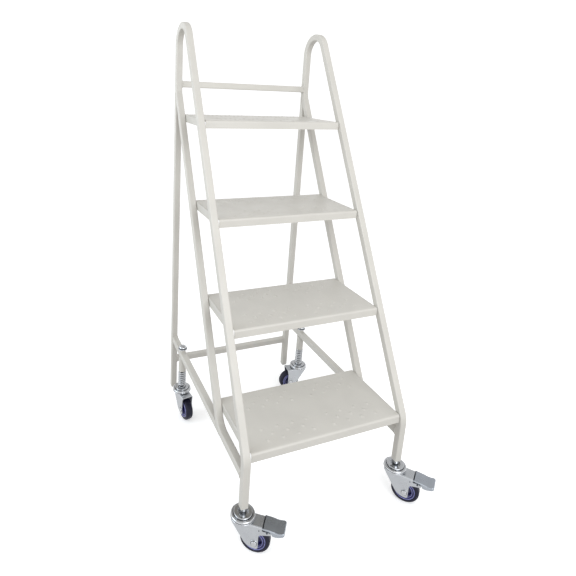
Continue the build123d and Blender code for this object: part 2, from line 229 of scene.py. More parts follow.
class LadderFinish(bpy.types.PropertyGroup):
    """Colours of the finishes."""
    coat: colour("Powder coat", "Frame and steps", "#CBC8C1")
    zinc: colour("Zinc", "Forks and bolts", "#C0C3C7")
    # Darker than the zinc as painted shade, for the shaded undersides that the pedals mirror.
    pedal: colour("Pedal", "Brake pedals", "#B0B6BE")
    # Dark as painted shade inside the springs, at the nuts' lower rim, round bolt heads and in pin
    # holes.
    rod: colour("Rod", "Sliding rods and pins", "#5A5D62")
    bright: colour("Bright plating", "Swivel heads, nuts and bolts", "#C9CBCE")
    tyre: colour("Tyre", "Tread of the wheels", "#0E0F28")
    # Pale as painted highlight: the glint on the glossy rings' edges.
    centre: colour("Wheel centre", "Moulded wheel centres", "#10104E")
    ring: colour("Ring", "Raised rings on the wheels", "#9294CC")
    foot: colour("Foot", "Plugs of the rear legs", "#D2D0CB")


class LadderStudio(bpy.types.PropertyGroup):
    """Camera and light."""
    lens: bpy.props.FloatProperty(name="Lens", description="Focal length", unit="CAMERA",
                                  default=29.68)
    shift_x: number("Shift X", "Sideways shift of the photo's frame", 0.0892)
    shift_y: number("Shift Y", "Upward shift of the photo's frame", -0.1557)
    eye: bpy.props.FloatVectorProperty(
        name="Eye", description="Camera's place on the ladder's drawing", subtype="TRANSLATION",
        size=3, default=(-0.64328, -0.85465, 1.118))
    yaw: angle("Yaw", "Camera's turn from straight ahead to the right", 22.48)
    pitch: angle("Pitch", "Camera's rise from level", -13.61)
    roll: angle("Roll", "Camera's roll", 2.739)
    world: number("World", "Brightness of the white surroundings", 0.8)
    horizon: number("Horizon", "Brightness of the white walls as metal mirrors them", 1.4)
    ceiling: number("Ceiling", "Brightness of the ceiling as metal mirrors it", 0.7)
    front: number("Front", "Power of the soft light in front, in watts", 35)
    left: number("Left", "Power of the soft light on the left, in watts", 30)
    above: number("Above", "Power of the soft light above the front, in watts", 4)
    bounce: number("Bounce", "Brightness of the ground as the ladder's undersides see it", 0.42)


def millimetres(group):
    """The settings of a group, its lengths in millimetres."""
    values = {}
    for name in group.__annotations__:
        value = getattr(group, name)
        values[name] = value / MM if group.bl_rna.properties[name].unit == "LENGTH" else value
    return SimpleNamespace(**values)


# Places

def tube_places():
    """Frame sizes, step sizes and what follows from them on the ladder's level drawing."""
    scene = bpy.context.scene
    tubes, steps = millimetres(scene.ladder_frame), millimetres(scene.ladder_steps)
    slope = math.hypot(steps.rise, steps.run) / steps.rise
    tubes.half = tubes.tube / 2
    tubes.side_x = tubes.inner_width / 2 + tubes.half
    tubes.leg_y = tubes.half - tubes.leg_forward
    tubes.post_y = tubes.post_setback + tubes.half
    tubes.base_z = tubes.base_top - tubes.half
    tubes.front_rail = slope * tubes.half
    tubes.rear_rail = steps.depth - slope * tubes.half
    tubes.lean = math.atan(steps.run / steps.rise)
    tubes.rail_z = lambda y, offset: steps.first + (y - offset) * steps.rise / steps.run
    tubes.rail_y = lambda z, offset: offset + (z - steps.first) * steps.run / steps.rise
    tubes.upper_bar += tubes.rail_z(tubes.post_y, tubes.rear_rail)
    return tubes, steps


def turned_axis(body):
    """Direction and place of the joint that carries a body."""
    return Vector(JOINTS[body]["axis"]), Vector(JOINTS[body]["pos_m"])


def from_drawing(place, *axes):
    """Matrix from a drawing in millimetres, by the place of its origin and its three axes."""
    return Matrix.LocRotScale(place, Matrix(axes).transposed(), Vector((MM, MM, MM)))


def ladder_drawing():
    """Matrix from the ladder's level drawing, in millimetres, to the model, by one front caster."""
    tubes, _ = tube_places()
    up, place = turned_axis("swivel_front_left")
    right = Vector((1, 0, 0))
    axes = (right, up.cross(right), up)
    crown = millimetres(bpy.context.scene.ladder_casters).crown
    head = Vector((-tubes.side_x, tubes.leg_y, crown)) * MM
    return from_drawing(place - Matrix(axes).transposed() @ head, *axes)


def caster_drawing(name):
    """Matrix from a caster's drawing: origin under the swivel axis, X along the trail, Z up."""
    up, place = turned_axis(f"swivel_{name}")
    across, _ = turned_axis(f"wheel_{name}")
    foot = place - up * bpy.context.scene.ladder_casters.crown
    return from_drawing(foot, across.cross(up), across, up)


def wheel_drawing(name):
    """Matrix from a wheel's drawing: origin at its middle, Z along its bolt."""
    up, _ = turned_axis(f"swivel_{name}")
    across, place = turned_axis(f"wheel_{name}")
    return from_drawing(place, up, across.cross(up), across)


# Surfaces

def rounded(corners, radii, degrees=7, closed=False):
    """Line through the corners, each rounded by an arc of its radius, drawn in steps of degrees.

    With a corner's half angle h, the arc's ends lie radius / tan h along the two runs and its
    centre radius / sin h along their bisector. Its points slide evenly from one end's spoke to
    the other's.
    """
    corners = np.asarray(corners, float)
    count = len(corners)
    line = []
    for i, radius in enumerate(np.broadcast_to(radii, count)):
        here = corners[i]
        if radius <= 0 or not closed and i in (0, count - 1):
            line.append(here[None])
            continue
        runs = np.array([corners[i - 1], corners[(i + 1) % count]]) - here
        runs /= np.linalg.norm(runs, axis=1, keepdims=True)
        half = math.acos(np.clip(runs[0] @ runs[1], -1, 1)) / 2
        bisector = runs.sum(0) / np.linalg.norm(runs.sum(0))
        centre = here + bisector * radius / math.sin(half)
        ends = here + runs * radius / math.tan(half) - centre
        sweep = math.pi - 2 * half
        share = np.linspace(0, 1, max(3, math.ceil(sweep / math.radians(degrees)) + 1))[:, None]
        spokes = np.sin((1 - share) * sweep) * ends[0] + np.sin(share * sweep) * ends[1]
        line.append(centre + spokes / math.sin(sweep))
    return np.concatenate(line)


def carried(profile, path, side):
    """Rings of a profile carried along a path.

    A point of a ring is the path's point, plus the profile's first coordinate along the side,
    plus its second along the normal, which is the path's direction crossed with the side.
    """
    runs = np.diff(path, axis=0)
    runs /= np.linalg.norm(runs, axis=1, keepdims=True)
    along = np.concatenate([runs[:1], runs[:-1] + runs[1:], runs[-1:]])
    along /= np.linalg.norm(along, axis=1, keepdims=True)
    side = np.broadcast_to(np.asarray(side, float), path.shape)
    normal = np.cross(along, side)
    return (path[:, None] + profile[None, :, :1] * side[:, None]
            + profile[None, :, 1:] * normal[:, None])


def turned(outline, steps=56):
    """Rings of a surface of revolution: each (radius, height) point goes round the Z axis."""
    outline = np.asarray(outline, float)
    turn = np.arange(steps) * 2 * np.pi / steps
    rings = outline[:, 0, None] * np.exp(1j * turn)
    heights = np.broadcast_to(outline[:, 1, None], rings.shape)
    return np.stack([rings.real, rings.imag, heights], axis=-1)


def stamped(outline, rows):
    """Rings of a flat part: its outline, moved in by each row's inset at each row's height.

    A point moves in along the bisector of its two edges' normals, as far as keeps the edges
    parallel.
    """
    before = outline - np.roll(outline, 1, axis=0)
    after = np.roll(outline, -1, axis=0) - outline
    before = before / np.linalg.norm(before, axis=1, keepdims=True)
    after = after / np.linalg.norm(after, axis=1, keepdims=True)
    inward = np.stack([-(before + after)[:, 1], (before + after)[:, 0]], axis=1)
    inward /= 1 + (before * after).sum(1, keepdims=True)
    rows = np.asarray(rows, float)
    flat = outline[None] + rows[:, :1, None] * inward[None]
    heights = np.broadcast_to(rows[:, 1:, None], flat.shape[:2] + (1,))
    return np.concatenate([flat, heights], axis=-1)


def extruded(outline, ends):
    """Rings of a side view, given as reach and height, one at each of the ends across it."""
    reach, height = np.asarray(outline, float).T
    return np.stack(np.broadcast_arrays(reach, np.asarray(ends)[:, None], height), axis=-1)


def coiled(radius, wire, height, turns, around=10, per_turn=30):
    """Rings of a coil spring: a circle of the wire's size carried up a helix of the radius."""
    turn = np.linspace(0, turns * 2 * np.pi, int(turns * per_turn))
    lift = height * turn / turn[-1]
    outward = np.stack([np.cos(turn), np.sin(turn), 0 * turn], axis=-1)
    path = outward * radius + np.stack([0 * turn, 0 * turn, lift], axis=-1)
    spin = np.arange(around) * 2 * np.pi / around
    ring = np.stack([np.cos(spin), np.sin(spin)], axis=-1) * wire / 2
    return carried(ring, path, outward)


def skin(rings, joined=False):
    """Points and faces over rings: quads between them, and a cap at each end unless joined."""
    count, around = rings.shape[:2]
    index = np.arange(count * around).reshape(count, around)
    following = np.roll(index, -1, axis=0) if joined else index[1:]
    current = index if joined else index[:-1]
    quads = np.stack([current, np.roll(current, -1, axis=1),
                      np.roll(following, -1, axis=1), following], axis=-1)
    faces = quads.reshape(-1, 4).tolist()
    if not joined:
        faces += [index[0, ::-1].tolist(), index[-1].tolist()]
    return rings.reshape(-1, 3), faces


def lathed(corners, radii=0, degrees=7, steps=56):
    """Turned part: its half outline with rounded corners, turned about Z and closed at its ends."""
    return skin(turned(rounded(corners, radii, degrees), steps))


def drum(radius, low, high, radii=(0, 0), degrees=7, steps=56):
    """Turned drum between two heights, with the radii of its lower and upper edge."""
    return lathed([(0, low), (radius, low), (radius, high), (0, high)], [0, *radii, 0],
                  degrees, steps)


def lathed_ring(outline, steps=72):
    """Turned ring: a closed outline goes round, clear of the axis."""
    return skin(turned(outline, steps), joined=True)


def moved(shape, place):
    """The same faces with their points moved by a matrix or an offset."""
    points, faces = shape
    if isinstance(place, Matrix):
        grid = np.array(place)
        return points @ grid[:3, :3].T + grid[:3, 3], faces
    return points + np.asarray(place, float), faces


def sliced(shape, places):
    """The same shape with its faces cut across X at the places, so that it can be bent there."""
    mesh = bpy.data.meshes.new("sliced")
    mesh.from_pydata(shape[0].tolist(), [], shape[1])
    work = bmesh.new()
    work.from_mesh(mesh)
    for place in places:
        everything = work.verts[:] + work.edges[:] + work.faces[:]
        bmesh.ops.bisect_plane(work, geom=everything, dist=1e-5, plane_co=(place, 0, 0),
                               plane_no=(1, 0, 0))
    work.to_mesh(mesh)
    work.free()
    points = np.empty(len(mesh.vertices) * 3)
    mesh.vertices.foreach_get("co", points)
    faces = [list(face.vertices) for face in mesh.polygons]
    bpy.data.meshes.remove(mesh)
    return points.reshape(-1, 3), faces


def tube_section(width, corner):
    """Outline of the square tube about its middle."""
    half = width / 2
    corners = [(-half, -half), (half, -half), (half, half), (-half, half)]
    return rounded(corners, corner, 18, closed=True)


def straight(start, end, section, side):
    """Rings of a straight tube from its start to its end."""
    return carried(section, np.array([start, end], float), side)


def piece(name, shapes, drawing, body, finish, nodes=(), crease=35, bevel=0.0):
    """Piece of one finish from its shapes, placed by a drawing's matrix, riding on a body."""
    starts = np.cumsum([0] + [len(points) for points, _ in shapes])
    points = np.concatenate([points for points, _ in shapes])
    points = moved((points, None), drawing)[0]
    faces = [[i + start for i in face]
             for start, (_, faces) in zip(starts, shapes) for face in faces]
    mesh = bpy.data.meshes.new(name)
    mesh.from_pydata(points.tolist(), [], faces)
    work = bmesh.new()
    work.from_mesh(mesh)
    bmesh.ops.remove_doubles(work, verts=work.verts, dist=2e-6)
    bmesh.ops.recalc_face_normals(work, faces=work.faces)
    work.to_mesh(mesh)
    work.free()
    mesh.validate()
    mesh.polygons.foreach_set("use_smooth", np.ones(len(mesh.polygons), bool))
    mesh.set_sharp_from_angle(angle=math.radians(crease))
    mesh.materials.append(finishes()[finish])
    made = bpy.data.objects.new(name, mesh)
    bpy.context.scene.collection.objects.link(made)
    if bevel:
        rounding = made.modifiers.new("Rounded edges", "BEVEL")
        rounding.width = bevel * MM
        rounding.segments = 2
        rounding.limit_method = "ANGLE"
        rounding.angle_limit = math.radians(crease)
    evened = made.modifiers.new("Flat faces stay flat", "WEIGHTED_NORMAL")
    evened.keep_sharp = True
    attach(made, body)
    if nodes:
        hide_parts(*nodes)
    return made


# Finishes

MADE = {}
# Most of a noise's values lie in this span.
NOISE_SPAN = (0.35, 0.65)


def add_node(tree, kind, inputs=None, **settings):
    """Node of a kind, with its settings, and with values or other nodes' outputs on its inputs."""
    node = tree.nodes.new(kind)
    for name, value in settings.items():
        setattr(node, name, value)
    for name, value in (inputs or {}).items():
        socket = node.inputs[name]
        if isinstance(value, bpy.types.NodeSocket):
            tree.links.new(value, socket)
        else:
            socket.default_value = value
    return node


def add_ramp(tree, value, span, reach):
    """Output of a node that maps a value's span onto a reach, and holds it beyond."""
    return add_node(tree, "ShaderNodeMapRange", {
        "Value": value, "From Min": span[0], "From Max": span[1], "To Min": reach[0],
        "To Max": reach[1]}).outputs["Result"]


def finish(name, colour, cloud, grain, rough, **shader):
    """Material with a clouded colour, an uneven gloss and a fine grain.

    cloud is (size in mm, darkest share of the colour), grain is (size in mm, height in mm) and
    rough is (least, most).
    """
    material = bpy.data.materials.new(name)
    material.use_nodes = True
    material.diffuse_color = (*colour, 1)
    tree = material.node_tree
    surface = tree.nodes["Principled BSDF"]
    for socket, value in shader.items():
        surface.inputs[socket].default_value = value
    place = add_node(tree, "ShaderNodeTexCoord").outputs["Object"]

    def noise(size, detail):
        """Noise on the piece's own coordinates, its grain about size millimetres wide."""
        inputs = {"Vector": place, "Scale": 1 / (size * MM), "Detail": detail}
        return add_node(tree, "ShaderNodeTexNoise", inputs).outputs["Fac"]

    cloud_size, darkest = cloud
    mix = add_node(tree, "ShaderNodeMix", data_type="RGBA")
    mix.inputs[6].default_value = (*(part * darkest for part in colour), 1)
    mix.inputs[7].default_value = (*colour, 1)
    share = add_ramp(tree, noise(cloud_size, 3.0), NOISE_SPAN, (0.0, 1.0))
    tree.links.new(share, mix.inputs[0])
    tree.links.new(mix.outputs[2], surface.inputs["Base Color"])
    gloss = add_ramp(tree, noise(cloud_size * 0.6, 2.0), NOISE_SPAN, rough)
    tree.links.new(gloss, surface.inputs["Roughness"])
    grain_size, height = grain
    bump = add_node(tree, "ShaderNodeBump", {
        "Height": noise(grain_size, 2.0), "Strength": 0.4, "Distance": height * MM})
    tree.links.new(bump.outputs["Normal"], surface.inputs["Normal"])
    return material


# Finish, its colour setting and material, then what the material function takes.
FINISHES = (
    # Polyester powder, sprayed on and baked: satin, with a faint orange peel.
    ("coat", "coat", "powder_coat_baked", (70, 0.96), (2.2, 0.05), (0.36, 0.46), {}),
    # Pressed steel, electroplated with bright zinc: bluish and even.
    ("zinc", "zinc", "zinc_plated_pressed_steel", (26, 0.94), (1.4, 0.02), (0.26, 0.36),
     {"Metallic": 0.9}),
    # The same plating on the pedals, coloured darker as painted shade: it stands for the shaded
    # step undersides that the treads mirror.
    ("pedal", "pedal", "zinc_plated_pedal_steel", (30, 0.93), (1.4, 0.02), (0.26, 0.34),
     {"Metallic": 0.95}),
    # Turned steel, coloured dark as painted shade: the shade inside the springs, at the domed nuts'
    # lower rim, round the bolt heads and in the pin holes.
    ("rod", "rod", "greased_turned_steel", (8, 0.9), (1.2, 0.02), (0.2, 0.3), {"Metallic": 1.0}),
    # Turned steel, nickel plated: near mirror with a trace of the tool.
    ("bright", "bright", "nickel_plated_turned_steel", (6, 0.93), (1.2, 0.02), (0.1, 0.2),
     {"Metallic": 1.0}),
    # Drawn spring wire, coiled and zinc plated.
    ("spring", "bright", "zinc_plated_spring_wire", (5, 0.86), (0.9, 0.03), (0.34, 0.46),
     {"Metallic": 0.85}),
    # Cast polyurethane: satin, scuffed by the floor.
    ("tyre", "tyre", "cast_polyurethane", (7, 0.72), (1.0, 0.08), (0.38, 0.56),
     {"Specular IOR Level": 0.3}),
    # Injection moulded nylon: glossy.
    ("centre", "centre", "moulded_nylon_navy", (8, 0.85), (1.4, 0.03), (0.18, 0.28), {}),
    # Injection moulded nylon in a pale colour: painted highlight on the raised rings' edges.
    ("ring", "ring", "moulded_nylon_lavender", (8, 0.9), (1.4, 0.03), (0.22, 0.32), {}),
    # Moulded polyethylene: matt and slightly waxy.
    ("foot", "foot", "moulded_polyethylene", (8, 0.93), (1.2, 0.04), (0.5, 0.6), {}),
)


def finishes():
    """All materials by finish, made once."""
    if not MADE:
        for key, setting, name, cloud, grain, rough, shader in FINISHES:
            shade = tuple(getattr(bpy.context.scene.ladder_finish, setting))
            MADE[key] = finish(name, shade, cloud, grain, rough, **shader)
    return MADE


# Tube frame

def loop_line(tubes):
    """Middle line of a side loop on its plane: leg, rail, hairpin, post, rail, run to the leg."""
    top = bpy.context.scene.ladder_casters.height / MM
    run_end = tubes.leg_y + tubes.half
    corners = [
        (0, tubes.leg_y, top),
        (0, tubes.leg_y, tubes.rail_z(tubes.leg_y, tubes.front_rail)),
        (0, tubes.post_y, tubes.rail_z(tubes.post_y, tubes.front_rail)),
        (0, tubes.post_y, tubes.rail_z(tubes.post_y, tubes.rear_rail)),
        (0, tubes.rail_y(tubes.base_z, tubes.rear_rail), tubes.base_z),
        (0, run_end, tubes.base_z),
    ]
    radii = [0, tubes.front_bend, tubes.hairpin, tubes.post_bend, tubes.base_bend, 0]
    return rounded(corners, radii, 5)


def leg_shape(tubes):
    """Rear leg, its top ring lifted onto the slope of the rear rail's back."""
    back = tubes.rear_rail + tubes.front_rail
    section = tube_section(tubes.tube, tubes.tube_corner)
    rings = straight((0, tubes.post_y, tubes.foot_height), (0, tubes.post_y, tubes.foot_height + 1),
                     section, (1, 0, 0))
    rings[-1, :, 2] = tubes.rail_z(rings[-1, :, 1], back)
    return skin(rings)


def base_rail_shape(tubes):
    """Base rail, its front ring moved onto the outer curve of the loop's lower bend.

    With the bend's outer radius R and a point h above the rail's underside, the curve lies
    the square root of R squared less (R - h) squared behind the bend's start.
    """
    turn = math.radians(90) - tubes.lean
    bend_start = tubes.rail_y(tubes.base_z, tubes.rear_rail) - tubes.base_bend * math.tan(turn / 2)
    outer = tubes.base_bend + tubes.half
    section = tube_section(tubes.tube, tubes.tube_corner)
    rings = straight((0, bend_start, tubes.base_z), (0, tubes.post_setback, tubes.base_z),
                     section, (1, 0, 0))
    above = rings[0, :, 2] - (tubes.base_z - tubes.half)
    rings[0, :, 1] = bend_start + np.sqrt(outer ** 2 - (outer - above) ** 2)
    return skin(rings)


def weld_shape(section, place, across, tubes):
    """Closed weld bead round a tube's outline: a small ring carried round it, in ripples.

    The outline lies on the joint's plane, between its direction across and the upright. The
    bead's radius is its size times 1 plus the swell times the sine of the way along.
    """
    outline = (np.asarray(place, float) + section[:, :1] * np.asarray(across, float)
               + section[:, 1:] * np.array([0.0, 0.0, 1.0]))
    spans = np.linalg.norm(np.roll(outline, -1, axis=0) - outline, axis=1)
    way = np.concatenate([[0], np.cumsum(spans)])
    per_ripple, swell, around = 4, 0.14, 8
    count = int(way[-1] / tubes.weld_ripple * per_ripple)
    at = np.linspace(0, way[-1], count, endpoint=False)
    looped = np.concatenate([outline, outline[:1]])
    path = np.stack([np.interp(at, way, looped[:, i]) for i in range(3)], axis=-1)
    along = np.roll(path, -1, axis=0) - np.roll(path, 1, axis=0)
    along /= np.linalg.norm(along, axis=1, keepdims=True)
    outward = path - path.mean(0)
    outward -= along * (outward * along).sum(1, keepdims=True)
    outward /= np.linalg.norm(outward, axis=1, keepdims=True)
    normal = np.cross(along, outward)
    radius = tubes.weld * (1 + swell * np.sin(2 * np.pi * at / tubes.weld_ripple))
    spin = (np.arange(around) * 2 * np.pi / around)[None, :, None]
    ring = np.cos(spin) * outward[:, None] + np.sin(spin) * normal[:, None]
    return skin(path[:, None] + radius[:, None, None] * ring, joined=True)


# Steps

def step_lines(steps, width):
    """Lines of the step's grid: across the width, and from front to back through both bands."""
    spacing, band_spacing, margin = steps.dimple_pitch / 20, 2, 4
    edge = width / 2 - steps.notch_width
    half = math.floor(edge / spacing) * spacing
    across = np.concatenate([[-edge], np.arange(-half, half + spacing / 2, spacing), [edge]])
    band = np.arange(-margin, steps.dimple_rows + margin + 1) * band_spacing + steps.dimple_edge
    back = np.concatenate([band, [steps.depth / 2], steps.depth - band[::-1]])
    return across, back


def dimples(x, y, steps):
    """Height of the dimples at points of a step: 0 to 1 times their rise.

    Each band has three rows of dimples, the middle one half a pitch aside, on both halves of
    the step. A dimple's height falls as half of 1 plus the cosine from its middle to its rim.
    """
    total = np.zeros(np.broadcast(x, y).shape)
    # The first dimple of a row, from the step's middle.
    first = 0.7 * steps.dimple_pitch
    near = np.minimum(y, steps.depth - y)
    for row, (aside, count) in enumerate(((0.0, 4), (0.5, 3), (0.0, 4))):
        share = (np.abs(x) - first) / steps.dimple_pitch - aside
        nearest = np.clip(np.round(share), 0, count - 1)
        away_x = (share - nearest) * steps.dimple_pitch
        away_y = near - steps.dimple_edge - row * steps.dimple_rows
        away = np.minimum(np.hypot(away_x, away_y) / steps.dimple, 1)
        total += (1 + np.cos(np.pi * away)) / 2
    return total * steps.dimple_rise


def step_shape(steps, width):
    """Pressed step about its front edge: a hat profile across the width, and a flange each side.

    The hat's rings run over the outside and back along the inside, one sheet apart. Its flat
    top is lifted by the dimples.
    """
    across, back = step_lines(steps, width)
    sheet = steps.sheet

    def over(inset):
        """Hat profile, as setback and height, at an inset from the outside."""
        rear, low, high = steps.depth - inset, -steps.lip, -inset
        middle = (steps.depth / 2, high)
        nose = rounded([(inset, low), (inset, high), middle], [0, steps.nose - inset, 0], 12)
        tail = rounded([middle, (rear, high), (rear, low)], [0, steps.edge - inset, 0], 18)
        flat = np.stack([back, np.full(len(back), high)], axis=-1)
        return np.concatenate([nose[:-1], flat, tail[1:]])

    profile = np.concatenate([over(0), over(sheet)[::-1]])
    x, y, z = np.broadcast_arrays(across[:, None], *profile.T)
    flat_top = np.abs(z + sheet / 2) <= sheet / 2 + 1e-6
    z = z + np.where(flat_top, dimples(x, y, steps), 0)
    outer, inner = width / 2, width / 2 - steps.notch_width
    flange = rounded([(inner, 0), (outer, 0), (outer, -steps.lip), (outer - sheet, -steps.lip),
                      (outer - sheet, -sheet), (inner, -sheet)],
                     [0, steps.edge, 0, 0, steps.edge - sheet, 0], 18, closed=True)
    ends = (steps.notch_length, steps.depth - steps.notch_length)
    flanges = [skin(extruded(flange * (side, 1), ends)) for _, side in SIDES]
    return [skin(np.stack([x, y, z], axis=-1))] + flanges


# Casters

def fork_side(sizes):
    """Distance from a wheel's middle to the outside of its fork."""
    return sizes.width / 2 + sizes.clearance + sizes.sheet


def stem_outline(sizes, collar, seat):
    """Half outline of what stays with the ladder: king pin, race, recess and collar to its seat."""
    race_bottom = sizes.crown + sizes.cup_floor + sizes.gap
    race_top = sizes.crown + sizes.race_top
    recess_floor = race_top - sizes.recess_depth
    head_top = sizes.crown - sizes.sheet - sizes.gap
    head_low, head = head_top - 3, sizes.pin + 4
    corners = [
        (0, head_low), (head, head_low), (head, head_top), (sizes.pin, head_top),
        (sizes.pin, race_bottom), (sizes.race, race_bottom), (sizes.race, race_top),
        (sizes.recess, race_top), (sizes.recess, recess_floor), (collar, recess_floor),
        (collar, seat), (0, seat),
    ]
    return rounded(corners, [0, 0.8, 0.5, 0, 0, 0.8, 1.5, 0.9, 0.5, 0.4, 0.7, 0], 22)


def dish_outline(sizes):
    """Half outline of the swivel dish: neck, lip, groove, upper ring and the cup for the race."""
    bore, waist, crown = sizes.pin + 0.3, sizes.dish - sizes.groove, sizes.crown
    under, lip_low, lip_top, groove_top = crown - sizes.sheet, crown + 2.6, crown + 4.6, crown + 6.2
    top, floor = crown + sizes.ring_top, crown + sizes.cup_floor
    corners = [
        (bore, under), (sizes.dish / 2, under), (sizes.neck, crown), (sizes.dish, lip_low),
        (sizes.dish, lip_top), (waist, lip_top), (waist, groove_top), (sizes.ring, groove_top),
        (sizes.ring, top), (sizes.cup, top), (sizes.cup, floor), (bore, floor),
    ]
    return rounded(corners, [0, 1.5, 4, 0.9, 0.9, 0.3, 0.3, 1, 3.2, 1.6, 1.2, 0], 18)


def cheek_edges(sizes, brake):
    """Front and back edge of a cheek, as (reach, height) lines from its foot up to the crown."""
    low, heel = sizes.wheel - sizes.drop, sizes.trail + sizes.heel
    # The foot lies a hair before the arc under the back edge.
    foot = (heel - sizes.heel_round - 0.2, low)
    front = rounded([(-sizes.cheek_front, sizes.crown), (sizes.trail - sizes.toe, low), foot],
                    [0, sizes.toe_round, 0], 4)[::-1]
    corners = [foot, (heel, low), (heel, sizes.crown - sizes.notch)]
    radii = [0, sizes.heel_round, sizes.notch_round]
    if brake:
        corners += [(sizes.ear_reach, sizes.crown - sizes.ear_low),
                    (sizes.ear_reach - sizes.ear_slant, sizes.crown - sizes.ear_high),
                    (sizes.crown_reach, sizes.crown - sizes.ear_root),
                    (sizes.crown_reach, sizes.crown)]
        radii += [3.5, 2.5, 1, 0]
    else:
        corners.append((sizes.sprung_reach, sizes.crown))
        radii.append(0)
    return front, rounded(corners, radii)


def fork_shape(sizes, brake):
    """Pressed fork: one strip of sheet bent over the wheel, as rings from cheek to crown to cheek.

    Each ring goes along the outside from the front edge to the back edge, at the ring's height,
    and back along the inside. The edges are read off the cheek's outline at that height.
    """
    edges = cheek_edges(sizes, brake)
    low, bend = sizes.wheel - sizes.drop, sizes.fork_bend
    outer = fork_side(sizes)
    hair, spread = 0.02, 0.05
    foot, top = low + hair, sizes.crown - bend
    levels = np.unique(np.concatenate([edge[:, 1] for edge in edges]).round(3))
    levels = levels[(levels > foot + spread) & (levels < top - spread)]
    levels = np.concatenate([[foot], levels, [top]])
    turn = np.linspace(0, np.pi / 2, 7)[1:]

    def half(inset):
        """Sideways place and height of the rings, from a cheek's foot to the crown's middle."""
        sideways = np.concatenate([np.full(len(levels), outer - inset),
                                   outer - bend + (bend - inset) * np.cos(turn), [0]])
        height = np.concatenate([levels, top + (bend - inset) * np.sin(turn),
                                 [sizes.crown - inset]])
        return sideways, height

    outside, inside = half(0), half(sizes.sheet)
    reach = [np.interp(outside[1], edge[:, 1] + np.arange(len(edge)) * 1e-5, edge[:, 0])
             for edge in edges]
    share = np.linspace(0, 1, 12)
    along = reach[0][:, None] + (reach[1] - reach[0])[:, None] * share
    along = np.concatenate([along, along[:, ::-1]], axis=1)
    across, height = (np.repeat(np.stack([out, back], axis=1), len(share), axis=1)
                      for out, back in zip(outside, inside))
    one = np.stack([along, across, height], axis=-1)
    other = (one * np.array([1, -1, 1]))[-2::-1]
    return skin(np.concatenate([one, other]))


def pedal_shape(sizes, pedal):
    """Pressed pedal: a tread plate with its edge rolled down, deep behind the ears and low beside.

    The lower rows' height falls evenly from the rim to the flange between the two named reaches,
    and rises again to the end. The whole shape then sags by the dip times the square of the sine
    of its share of the way to the end, which is bent so that the lowest place is near the end.
    """
    outer = fork_side(sizes) + pedal.clearance + pedal.sheet
    start, top, end = sizes.crown_reach + pedal.clearance, sizes.crown, pedal.reach
    outline = rounded([(start, -outer), (end, -outer), (end, outer), (start, outer)],
                      [0.8, pedal.corner, pedal.corner, 0.8], 10, closed=True)
    # Both long sides get points where their depth changes, and just beyond.
    beyond = 2
    changes = np.array([pedal.rim_reach - beyond, pedal.rim_reach, pedal.flange_start,
                        pedal.flange_start + beyond])
    near, far = (np.stack([x, np.full(4, y)], -1)
                 for x, y in ((changes, -outer), (changes[::-1], outer)))
    split = np.searchsorted(outline[outline[:, 1] < 0][:, 0], pedal.rim_reach)
    back = len(outline) - split
    outline = np.concatenate([outline[:split], near, outline[split:back], far, outline[back:]])
    sheet, roll = pedal.sheet, pedal.roll
    arc = np.linspace(0, np.pi / 2, 7)
    rows = [(roll, top - sheet), (sheet, top - roll), (sheet, 0), (0, 0)]
    rows += list(zip(roll - roll * np.cos(arc), top - roll + roll * np.sin(arc)))
    rings = stamped(outline, rows)
    depth = np.interp(outline[:, 0], [pedal.rim_reach, pedal.flange_start, end],
                      [pedal.rim, pedal.flange, pedal.end_flange])
    rings[2:4, :, 2] = top - np.maximum(depth, roll + 0.4)
    flat_part, late, cut = 4, 1.6, 3
    points, faces = sliced(skin(rings), np.arange(start + 2 * cut, end - beyond, cut))
    share = np.clip((points[:, 0] - start - flat_part) / (end - start - flat_part), 0, 1)
    points[:, 2] -= pedal.dip * np.sin(np.pi * share ** late) ** 2
    return points, faces


def lug_shape(sizes, pedal, side):
    """Lug of the pedal on its pin: a strip from the tread plate down, round about the pin."""
    arc = np.linspace(np.pi, 2 * np.pi, 15)
    foot = np.stack([pedal.pin_reach + pedal.lug * np.cos(arc),
                     sizes.crown - pedal.pin_drop + pedal.lug * np.sin(arc)], -1)
    top = sizes.crown - pedal.sheet / 2
    outline = np.concatenate([[(pedal.pin_reach - pedal.lug, top)], foot,
                              [(pedal.pin_reach + pedal.lug, top)]])
    outside = sizes.width / 2 + sizes.clearance - pedal.clearance
    return skin(extruded(outline, side * np.array([outside - pedal.sheet, outside])))


def both_sides(points):
    """Closed outline from a half one, which starts at the middle plane, and its mirror image."""
    points = np.asarray(points, float)
    return np.concatenate([points, points[::-1] * (1, -1)])[:-1]


BOLT_CAP = 0.74  # Share of a bolt head's radius that its cap takes.


def bolt_head(radius, height, base):
    """Low bolt head standing on the base height: a thin flange under a flat cap."""
    cap, ledge, top = radius * BOLT_CAP, base + height * 0.4, base + height
    return lathed([(0, base), (radius, base), (radius, ledge), (cap, ledge), (cap, top), (0, top)],
                  [0, 0.3, 0.6, 0.1, 1.2, 0], 20, 48)


# Operators

class BuildSideLoops(bpy.types.Operator):
    """Bent side loops of square tube."""
    bl_idname = "ladder.side_loops"
    bl_label = "Side loops"

    def execute(self, context):
        tubes, _ = tube_places()
        section = tube_section(tubes.tube, tubes.tube_corner)
        for side, sign in SIDES:
            rings = carried(section, loop_line(tubes), (1, 0, 0))
            shape = moved(skin(rings), (sign * tubes.side_x, 0, 0))
            piece(f"side_loop_tube_{side}", [shape], ladder_drawing(), "frame", "coat",
                  [f"side_loop_{side}"])
        return {"FINISHED"}


